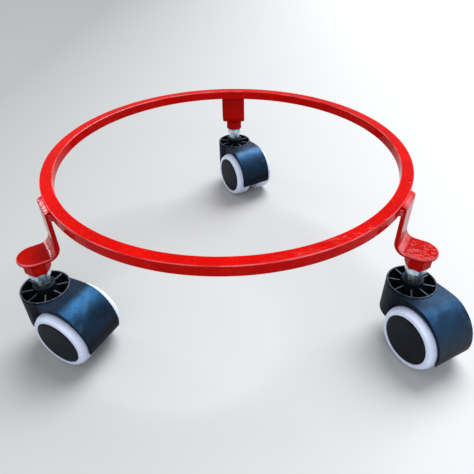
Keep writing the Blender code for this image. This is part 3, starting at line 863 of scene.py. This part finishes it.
def opening_steps():
    """The stem's bore, the room for each wheel and the axle's hole."""
    bore_end = 38.5 * MM
    above = BOSS_TOP + 1.0 * MM
    bore = lathe_mesh("bore", [(0.0, above), (BORE_RADIUS + 1.6 * MM, above),
                               (BORE_RADIUS, BOSS_TOP - 0.6 * MM), (BORE_RADIUS, bore_end),
                               (0.0, bore_end)], 72)
    side = 30.0 * MM
    reach = WHEEL_RADIUS + 0.8 * MM
    room_outline = filleted([(0.0, side, 0.0), (reach, side, 0.0), (reach, WEB_HALF, 1.0 * MM),
                             (0.0, WEB_HALF, 0.0)])
    room = lathe_mesh("room", room_outline, 128)
    half = 10.0 * MM
    hole = lathe_mesh("axle_hole", [(0.0, half), (RUNNING_BORE, half), (RUNNING_BORE, -half),
                                    (0.0, -half)], 48)
    at_axle = Matrix.Translation((TRAIL, 0.0, AXLE_HEIGHT))
    near, far = [at_axle @ turn for turn in WHEEL_TURNS.values()]
    return [("DIFFERENCE", bore, Matrix.Identity(4)), ("DIFFERENCE", room, near),
            ("DIFFERENCE", room, far), ("DIFFERENCE", hole, near)]


def hood_mesh():
    """One moulding: mudguard, middle web, ribbed turret cup and the boss round the bore."""
    plate = outline_mesh("hood", mudguard_outline(), HOOD_HALF_WIDTH, edge=1.0 * MM, edge_segments=3)
    plate.transform(UPRIGHT)
    return combined("hood", plate, turret_steps() + opening_steps(), 33.0)


# ---- wheels, about their own Z, which points outwards along the axle -----------------------------


def tyre_mesh():
    """Soft tread moulded on the rim: a broad round shoulder outside and a lip at the hub cap."""
    outer, inner = tyre_high.y, tyre_low.y
    seat, tread = TYRE_SEAT, WHEEL_RADIUS
    line = filleted([
        (seat, outer - 1.2 * MM, 0.0), (seat, outer - 0.15 * MM, 0.25 * MM),
        (seat + 0.9 * MM, outer, 0.5 * MM), (tread - 2.2 * MM, outer, 3.0 * MM),
        (tread, outer - 4.2 * MM, 4.0 * MM), (tread, inner + 2.2 * MM, 1.8 * MM),
        (tread - 1.8 * MM, inner, 1.2 * MM), (seat, inner, 0.3 * MM)],
        loop=True, segments=6)
    return lathe_mesh("tyre", line, 128, loop=True, sharp=50.0)


def core_mesh():
    """Rim, web and hub barrel in one turned shape."""
    outer, inner = tyre_high.y - 2.1 * MM, tyre_low.y + 0.1 * MM
    rim_outer = TYRE_SEAT - 0.4 * MM
    rim_inner = rim_outer - 2.0 * MM
    bore = RUNNING_BORE
    cut = 0.4 * MM
    line = filleted([
        (rim_outer, outer, cut), (rim_outer, inner, cut), (rim_inner, inner, cut),
        (rim_inner - 0.2 * MM, 13.0 * MM, 0.8 * MM), (BOSS_RADIUS + 0.2 * MM, 13.0 * MM, 0.8 * MM),
        (BOSS_RADIUS, core_low.y, cut), (bore, core_low.y, cut), (bore, outer, cut)],
        loop=True, segments=3)
    return lathe_mesh("wheel_core", line, 96, loop=True)


def cap_mesh():
    """Pressed-in disc: low crown, a fine step near the rim and a soft edge."""
    crown = cap_high.y
    edge = TYRE_SEAT - 0.4 * MM
    back = cap_low.y
    rows = [(0.0, crown)]
    rows += [(edge * share, crown - 0.55 * MM * share ** 2.2) for share in
             (0.12, 0.25, 0.38, 0.5, 0.6, 0.7, 0.78, 0.85, 0.9)]
    rows += [(edge * 0.915, crown - 0.60 * MM), (edge * 0.925, crown - 0.60 * MM),
             (edge * 0.94, crown - 0.54 * MM), (edge * 0.965, crown - 0.62 * MM),
             (edge * 0.985, crown - 0.85 * MM), (edge, crown - 1.3 * MM), (edge, back), (0.0, back)]
    return lathe_mesh("hub_cap", rows, 128, sharp=50.0)


def axle_mesh():
    """Pin with chamfered ends and a groove near each."""
    end = axle_high.y
    radius = 4.0 * MM
    rows = [(0.0, end), (radius - 0.6 * MM, end), (radius, end - 0.6 * MM), (radius, end - 2.0 * MM),
            (radius - 0.3 * MM, end - 2.2 * MM), (radius - 0.3 * MM, end - 3.0 * MM),
            (radius, end - 3.2 * MM)]
    rows += [(r, -z) for r, z in reversed(rows)]
    return lathe_mesh("axle", rows, 64, sharp=28.0)


# ---- assembly ------------------------------------------------------------------------------------


SHAPES = {"strap": strap_mesh(), "nut": nut_mesh(), "stem": stem_mesh(), "clip": clip_mesh(),
          "bush": bush_mesh(), "hood": hood_mesh(), "tyre": tyre_mesh(), "core": core_mesh(),
          "cap": cap_mesh(), "axle": axle_mesh()}


def add_bracket(place, number):
    """A bracket with its beads, nut, stem and clip; the number varies the beads."""
    arm, stem = FRAMES[place]["arm"], FRAMES[place]["stem"]
    show(f"{place}_bracket_painted", SHAPES["strap"], arm, "frame", SHADED_RED, "red_paint",
         f"{place}_bracket")
    for side, sign in (("1", 1.0), ("2", -1.0)):
        show(f"{place}_weld_bead_{side}", side_weld_mesh(sign, number * 2.0 + sign), arm, "frame",
             SHADED_RED, "red_paint", f"{place}_bracket_weld_{side}")
    show(f"{place}_top_bead", top_weld_mesh(number * 3.0), arm, "frame", RED, "red_paint",
         f"{place}_bracket_top_weld")
    show(f"{place}_nut_painted", SHAPES["nut"], stem, "frame", SHADED_RED, "red_paint", f"{place}_nut")
    show(f"{place}_nut_bead", nut_weld_mesh(number * 1.7), stem, "frame", SHADED_RED, "red_paint",
         f"{place}_nut_weld")
    show(f"{place}_stem_plated", SHAPES["stem"], stem, "frame", ZINC, "zinc_plate", f"{place}_stem")
    show(f"{place}_clip", SHAPES["clip"], stem, "frame", DARK_STEEL, "spring_steel",
         f"{place}_stem_clip")


def add_castor(place):
    """A castor's swivelling pieces and its two wheels."""
    castor = FRAMES[place]["castor"]
    body = f"{place}_castor"
    show(f"{place}_bush", SHAPES["bush"], castor, body, BRONZE, "bush_bronze", f"{place}_stem_bush")
    hood = SHAPES["hood"].copy()
    hood.transform(castor.to_3x3().to_4x4())
    show(f"{place}_hood_moulded", hood, Matrix.Translation(castor.translation), body, NYLON,
         "black_nylon", f"{place}_hood")
    at_axle = castor @ Matrix.Translation((TRAIL, 0.0, AXLE_HEIGHT))
    show(f"{place}_axle_turned", SHAPES["axle"], at_axle @ UPRIGHT, body, ZINC, "zinc_plate",
         f"{place}_axle")
    for side, turn in WHEEL_TURNS.items():
        wheel = f"{place}_wheel_{side}"
        at = at_axle @ turn
        show(f"{wheel}_tyre", SHAPES["tyre"], at, wheel, TYRE, "tyre_white", f"{place}_tyre_{side}")
        show(f"{wheel}_core", SHAPES["core"], at, wheel, CORE, "core_nylon",
             f"{place}_wheel_core_{side}")
        show(f"{wheel}_cap", SHAPES["cap"], at, wheel, CAP, "black_nylon", f"{place}_hub_cap_{side}")


show("ring_painted", ring_mesh(), Matrix.Translation((CENTRE.x, CENTRE.y, 0.0)), "frame", RED,
     "red_paint", "carrier_ring")
for number, place in enumerate(PLACES):
    add_bracket(place, number)
    add_castor(place)

# ---- floor, light and camera ---------------------------------------------------------------------


def make_floor():
    """Pale floor whose tone rises evenly from left to right."""
    size = 14.0
    work = bmesh.new()
    bmesh.ops.create_grid(work, x_segments=2, y_segments=2, size=size)
    mesh = bpy.data.meshes.new("floor")
    work.to_mesh(mesh)
    work.free()
    floor = bpy.data.objects.new("floor", mesh)
    floor.location = (0.0, 0.0, -0.0002)
    bpy.context.scene.collection.objects.link(floor)
    pale = Shader("pale_floor")
    split = pale.node("ShaderNodeSeparateXYZ")
    pale.link(pale.place, split.inputs[0])
    shade = pale.ramp(split.outputs["X"], 0.0, 1.0, -0.45, 0.45)
    pale.set(Base_Color=pale.mix(shade, FLOOR_DARK, FLOOR_LIGHT), Roughness=0.9, Specular_IOR_Level=0.0)
    mesh.materials.append(pale.material)


def make_light(name, kind, location, target, power, colour):
    """Adds a lamp that faces the target, and returns its data."""
    data = bpy.data.lights.new(name, kind)
    data.energy = power
    data.color = colour
    lamp = bpy.data.objects.new(name, data)
    lamp.location = location
    lamp.rotation_euler = (Vector(target) - Vector(location)).to_track_quat("-Z", "Y").to_euler()
    bpy.context.scene.collection.objects.link(lamp)
    return data


def make_lights():
    """A broad soft key from behind and above, a low strip in front and two narrow side strips."""
    middle = (0.0, 0.0, 0.06)
    key = make_light("key", "SUN", KEY_FROM, middle, KEY_POWER, LIGHT_TINT)
    key.angle = math.radians(KEY_WIDTH)
    for name, (location, sides, power) in STRIPS.items():
        lamp = make_light(name, "AREA", location, middle, power, LIGHT_TINT)
        lamp.shape = "RECTANGLE"
        lamp.size, lamp.size_y = sides
    world = bpy.data.worlds.new("studio")
    world.use_nodes = True
    bpy.context.scene.world = world
    background = world.node_tree.nodes["Background"]
    background.inputs["Color"].default_value = WORLD_TINT
    background.inputs["Strength"].default_value = WORLD_POWER


def make_camera():
    """Close in front of the dolly and a little above its ring."""
    data = bpy.data.cameras.new("camera")
    data.sensor_width = 36.0
    data.lens = CAMERA_LENS
    data.clip_start = 0.01
    camera = bpy.data.objects.new("camera", data)
    camera.location = (CENTRE.x + CAMERA_RIGHT, CENTRE.y - CAMERA_BEFORE, RING_TOP + CAMERA_ABOVE)
    tilt = Matrix.Rotation(math.radians(90.0 - CAMERA_TILT), 4, "X")
    roll = Matrix.Rotation(math.radians(CAMERA_ROLL), 4, "Z")
    camera.rotation_euler = (tilt @ roll).to_euler()
    bpy.context.scene.collection.objects.link(camera)
    bpy.context.scene.camera = camera


make_floor()
make_lights()
make_camera()
bpy.context.scene.view_settings.view_transform = "Standard"
